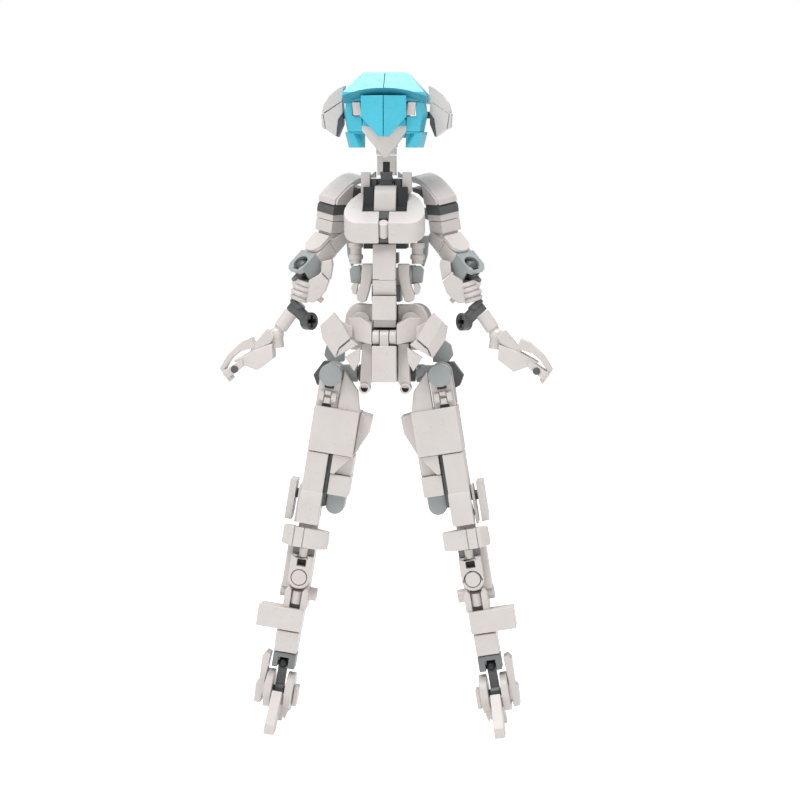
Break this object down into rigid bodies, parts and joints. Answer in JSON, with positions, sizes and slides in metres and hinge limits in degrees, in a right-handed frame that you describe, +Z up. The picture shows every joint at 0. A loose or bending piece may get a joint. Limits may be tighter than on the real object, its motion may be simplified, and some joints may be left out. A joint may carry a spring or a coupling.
{
  "type": "humanoid robot kit",
  "caption": "Jointed humanoid robot built from interlocking plastic bricks, with armour plates, hair shell and poseable limbs, standing on its feet",
  "frame": {"origin": "centre of the bounding box at floor level, between the feet", "axes": "+Z up, the figure faces -Y, its own left is +X"},
  "size_m": [0.1152, 0.0312, 0.2294],
  "materials": {
    "white_abs": "satin gloss moulded ABS",
    "cyan_abs": "satin gloss moulded ABS",
    "light_grey_abs": "satin gloss moulded ABS",
    "dark_grey_abs": "satin gloss moulded ABS"
  },
  "bodies": {
    "pelvis": {"pelvis_core": "dark_grey_abs", "pelvis_front": "white_abs", "pelvis_arch": "white_abs"},
    "flap": {"front_flap": "white_abs"},
    "waist": {"abdomen_core": "dark_grey_abs", "abdomen_front": "white_abs", "waist_arm_r": "white_abs", "waist_arm_l": "white_abs"},
    "chest": {"chest_core": "dark_grey_abs", "chest_front": "white_abs", "stomach_slope": "white_abs", "collar_yoke": "white_abs", "breast_r": "white_abs", "breast_l": "white_abs", "rib_r": "white_abs", "rib_l": "white_abs"},
    "neck": {"neck": "dark_grey_abs"},
    "head": {"face": "white_abs", "hair_top": "cyan_abs", "hair_fringe": "cyan_abs", "hair_side_r": "cyan_abs", "hair_side_l": "cyan_abs"},
    "armour_r": {"side_armour_r": "white_abs"},
    "ear_r": {"ear_pod_r": "white_abs"},
    "shoulder_r": {"shoulder_hub_r": "light_grey_abs"},
    "upper_arm_r": {"shoulder_armour_r": "white_abs", "arm_band_r": "dark_grey_abs", "upper_arm_r": "white_abs", "elbow_socket_r": "light_grey_abs"},
    "forearm_r": {"forearm_r": "white_abs", "wrist_connector_r": "dark_grey_abs"},
    "hand_r": {"palm_r": "white_abs"},
    "fingers_r": {"fingers_r": "white_abs"},
    "hip_r": {"hip_hub_r": "light_grey_abs"},
    "thigh_r": {"hip_tile_r": "light_grey_abs", "thigh_r": "white_abs", "thigh_core_r": "dark_grey_abs"},
    "shin_r": {"shin_r": "white_abs", "ankle_socket_r": "light_grey_abs"},
    "ankle_r": {"ankle_link_r": "dark_grey_abs"},
    "foot_r": {"foot_r": "white_abs"},
    "armour_l": {"side_armour_l": "white_abs"},
    "ear_l": {"ear_pod_l": "white_abs"},
    "shoulder_l": {"shoulder_hub_l": "light_grey_abs"},
    "upper_arm_l": {"shoulder_armour_l": "white_abs", "arm_band_l": "dark_grey_abs", "upper_arm_l": "white_abs", "elbow_socket_l": "light_grey_abs"},
    "forearm_l": {"forearm_l": "white_abs", "wrist_connector_l": "dark_grey_abs"},
    "hand_l": {"palm_l": "white_abs"},
    "fingers_l": {"fingers_l": "white_abs"},
    "hip_l": {"hip_hub_l": "light_grey_abs"},
    "thigh_l": {"hip_tile_l": "light_grey_abs", "thigh_l": "white_abs", "thigh_core_l": "dark_grey_abs"},
    "shin_l": {"shin_l": "white_abs", "ankle_socket_l": "light_grey_abs"},
    "ankle_l": {"ankle_link_l": "dark_grey_abs"},
    "foot_l": {"foot_l": "white_abs"}
  },
  "joints": [
    {"name": "flap_swing", "type": "hinge", "parent": "pelvis", "child": "flap", "pos_m": [0, -0.0106, 0.1389], "axis": [-1, 0, 0], "range_deg": [-4, 75]},
    {"name": "waist_turn", "type": "hinge", "parent": "pelvis", "child": "waist", "pos_m": [0, 0.001, 0.1502], "axis": [0, 0, 1], "range_deg": [-20, 20]},
    {"name": "chest_pitch", "type": "hinge", "parent": "waist", "child": "chest", "pos_m": [0, 0, 0.1601], "axis": [1, 0, 0], "range_deg": [-30, 10]},
    {"name": "neck_pitch", "type": "hinge", "parent": "chest", "child": "neck", "pos_m": [0, -0.0005, 0.19], "axis": [1, 0, 0], "range_deg": [-12, 30]},
    {"name": "head_turn", "type": "hinge", "parent": "neck", "child": "head", "pos_m": [0, -0.0005, 0.2], "axis": [0, 0, 1], "range_deg": [-85, 85]},
    {"name": "armour_swing_r", "type": "hinge", "parent": "pelvis", "child": "armour_r", "pos_m": [-0.017, -0.014, 0.144], "axis": [0, 1, 0], "range_deg": [-12, 60]},
    {"name": "ear_turn_r", "type": "hinge", "parent": "head", "child": "ear_r", "pos_m": [-0.0144, 0, 0.215], "axis": [1, 0, 0], "range_deg": [-75, 75]},
    {"name": "shoulder_swing_r", "type": "hinge", "parent": "chest", "child": "shoulder_r", "pos_m": [-0.01, 0.0104, 0.181], "axis": [-1, 0, 0], "range_deg": [-20, 90]},
    {"name": "shoulder_raise_r", "type": "hinge", "parent": "shoulder_r", "child": "upper_arm_r", "pos_m": [-0.0155, 0.0104, 0.181], "axis": [0, 1, 0], "range_deg": [-8, 25]},
    {"name": "elbow_r", "type": "hinge", "parent": "upper_arm_r", "child": "forearm_r", "pos_m": [-0.02859, -0.00216, 0.16143], "axis": [-0.4045, -0.5787, 0.7082], "range_deg": [-38, 20]},
    {"name": "wrist_roll_r", "type": "hinge", "parent": "forearm_r", "child": "hand_r", "pos_m": [-0.0326, -0.003, 0.1476], "axis": [0.5761, 0.0695, 0.8144], "range_deg": [-90, 90]},
    {"name": "finger_open_r", "type": "hinge", "parent": "hand_r", "child": "fingers_r", "pos_m": [-0.0549, -0.0045, 0.126], "axis": [0, -1, 0], "range_deg": [0, 85]},
    {"name": "hip_swing_r", "type": "hinge", "parent": "pelvis", "child": "hip_r", "pos_m": [-0.011, 0, 0.1257], "axis": [-1, 0, 0], "range_deg": [-45, 60]},
    {"name": "hip_raise_r", "type": "hinge", "parent": "hip_r", "child": "thigh_r", "pos_m": [-0.0188, 0, 0.1257], "axis": [0, 1, 0], "range_deg": [-7, 45]},
    {"name": "knee_r", "type": "hinge", "parent": "thigh_r", "child": "shin_r", "pos_m": [-0.02675, 0, 0.07662], "axis": [0.9871, 0, -0.1599], "range_deg": [0, 100]},
    {"name": "ankle_r", "type": "hinge", "parent": "shin_r", "child": "ankle_r", "pos_m": [-0.03666, 0, 0.02292], "axis": [0.9871, 0, -0.1599], "range_deg": [-33, 33]},
    {"name": "foot_pitch_r", "type": "hinge", "parent": "ankle_r", "child": "foot_r", "pos_m": [-0.03816, 0, 0.01364], "axis": [0.9871, 0, -0.1599], "range_deg": [-33, 33]},
    {"name": "armour_swing_l", "type": "hinge", "parent": "pelvis", "child": "armour_l", "pos_m": [0.017, -0.014, 0.144], "axis": [0, -1, 0], "range_deg": [-12, 60]},
    {"name": "ear_turn_l", "type": "hinge", "parent": "head", "child": "ear_l", "pos_m": [0.0144, 0, 0.215], "axis": [1, 0, 0], "range_deg": [-75, 75]},
    {"name": "shoulder_swing_l", "type": "hinge", "parent": "chest", "child": "shoulder_l", "pos_m": [0.01, 0.0104, 0.181], "axis": [-1, 0, 0], "range_deg": [-20, 90]},
    {"name": "shoulder_raise_l", "type": "hinge", "parent": "shoulder_l", "child": "upper_arm_l", "pos_m": [0.0155, 0.0104, 0.181], "axis": [0, -1, 0], "range_deg": [-8, 25]},
    {"name": "elbow_l", "type": "hinge", "parent": "upper_arm_l", "child": "forearm_l", "pos_m": [0.02859, -0.00216, 0.16143], "axis": [-0.4045, 0.5787, -0.7082], "range_deg": [-38, 20]},
    {"name": "wrist_roll_l", "type": "hinge", "parent": "forearm_l", "child": "hand_l", "pos_m": [0.0326, -0.003, 0.1476], "axis": [0.5761, -0.0695, -0.8144], "range_deg": [-90, 90]},
    {"name": "finger_open_l", "type": "hinge", "parent": "hand_l", "child": "fingers_l", "pos_m": [0.0549, -0.0045, 0.126], "axis": [0, 1, 0], "range_deg": [0, 85]},
    {"name": "hip_swing_l", "type": "hinge", "parent": "pelvis", "child": "hip_l", "pos_m": [0.011, 0, 0.1257], "axis": [-1, 0, 0], "range_deg": [-45, 60]},
    {"name": "hip_raise_l", "type": "hinge", "parent": "hip_l", "child": "thigh_l", "pos_m": [0.0188, 0, 0.1257], "axis": [0, -1, 0], "range_deg": [-7, 45]},
    {"name": "knee_l", "type": "hinge", "parent": "thigh_l", "child": "shin_l", "pos_m": [0.02675, 0, 0.07662], "axis": [0.9871, 0, 0.1599], "range_deg": [0, 100]},
    {"name": "ankle_l", "type": "hinge", "parent": "shin_l", "child": "ankle_l", "pos_m": [0.03666, 0, 0.02292], "axis": [0.9871, 0, 0.1599], "range_deg": [-33, 33]},
    {"name": "foot_pitch_l", "type": "hinge", "parent": "ankle_l", "child": "foot_l", "pos_m": [0.03816, 0, 0.01364], "axis": [0.9871, 0, 0.1599], "range_deg": [-33, 33]}
  ]
}
